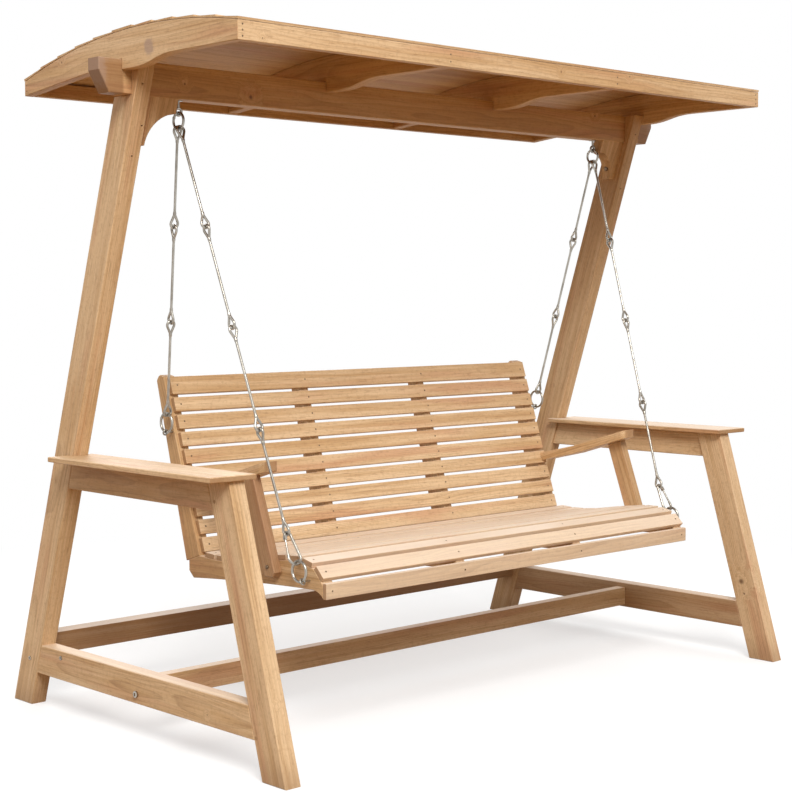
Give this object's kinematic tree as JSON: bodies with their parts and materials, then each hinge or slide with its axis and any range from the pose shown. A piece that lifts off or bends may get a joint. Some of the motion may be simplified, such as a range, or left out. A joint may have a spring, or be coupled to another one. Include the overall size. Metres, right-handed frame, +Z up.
{
  "type": "canopy swing",
  "caption": "Slatted hardwood garden swing bench hung on steel rod links from a beam between leaning side frames, under an arched slatted roof, with a side shelf at each end.",
  "frame": {"origin": "on the ground, midway between the four feet", "axes": "+X along the bench towards the seated person's left, the picture's right end, +Y from the open front to the back, +Z up"},
  "size_m": [2.344, 1.304, 1.9449],
  "materials": {
    "hardwood": "lightly oiled, satin, straight grain",
    "link_steel": "bright zinc plated, satin",
    "fastener_steel": "dull plated",
    "plug_wood": "end grain, oiled"
  },
  "bodies": {
    "frame": {"left_rear_post": "hardwood", "left_front_leg": "hardwood", "left_upper_rail": "hardwood", "left_side_stretcher": "hardwood", "left_side_shelf": "hardwood", "left_beam_bracket": "hardwood", "left_roof_arch": "hardwood", "left_roof_rib": "hardwood", "right_rear_post": "hardwood", "right_front_leg": "hardwood", "right_upper_rail": "hardwood", "right_side_stretcher": "hardwood", "right_side_shelf": "hardwood", "right_beam_bracket": "hardwood", "right_roof_arch": "hardwood", "right_roof_rib": "hardwood", "middle_stretcher": "hardwood", "rear_stretcher": "hardwood", "roof_beam": "hardwood", "front_fascia": "hardwood", "rear_fascia": "hardwood", "roof_slats": "hardwood", "left_screw_eye": "link_steel", "right_screw_eye": "link_steel", "roof_screws": "fastener_steel", "fascia_nails": "fastener_steel", "frame_bolts": "fastener_steel", "leg_plugs": "plug_wood"},
    "bench": {"seat_slats": "hardwood", "back_slats": "hardwood", "left_end_seat_rail": "hardwood", "left_inner_seat_rail": "hardwood", "left_end_back_stile": "hardwood", "left_inner_back_stile": "hardwood", "left_arm": "hardwood", "left_arm_post": "hardwood", "right_end_seat_rail": "hardwood", "right_inner_seat_rail": "hardwood", "right_end_back_stile": "hardwood", "right_inner_back_stile": "hardwood", "right_arm": "hardwood", "right_arm_post": "hardwood", "left_top_ring": "link_steel", "left_front_rods": "link_steel", "left_rear_rods": "link_steel", "left_snap_hook": "link_steel", "left_front_ring": "link_steel", "left_rear_ring": "link_steel", "right_top_ring": "link_steel", "right_front_rods": "link_steel", "right_rear_rods": "link_steel", "right_snap_hook": "link_steel", "right_front_ring": "link_steel", "right_rear_ring": "link_steel", "ring_eyes": "link_steel", "bench_screws": "fastener_steel"},
    "left_gate": {"left_hook_gate": "link_steel"},
    "right_gate": {"right_hook_gate": "link_steel"}
  },
  "joints": [
    {"name": "bench_swing", "type": "hinge", "parent": "frame", "child": "bench", "pos_m": [0, 0.026, 1.72525], "axis": [1, 0, 0], "range_deg": [-25, 25]},
    {"name": "left_gate_pivot", "type": "hinge", "parent": "bench", "child": "left_gate", "pos_m": [-0.81805, -0.34692, 0.56783], "axis": [0, -0.8851, 0.4654], "range_deg": [0, 30], "stiffness_Nm_per_rad": 0.12, "springref_deg": -17.19},
    {"name": "right_gate_pivot", "type": "hinge", "parent": "bench", "child": "right_gate", "pos_m": [0.81805, -0.34692, 0.56783], "axis": [0, 0.8851, -0.4654], "range_deg": [0, 30], "stiffness_Nm_per_rad": 0.12, "springref_deg": -17.19}
  ]
}
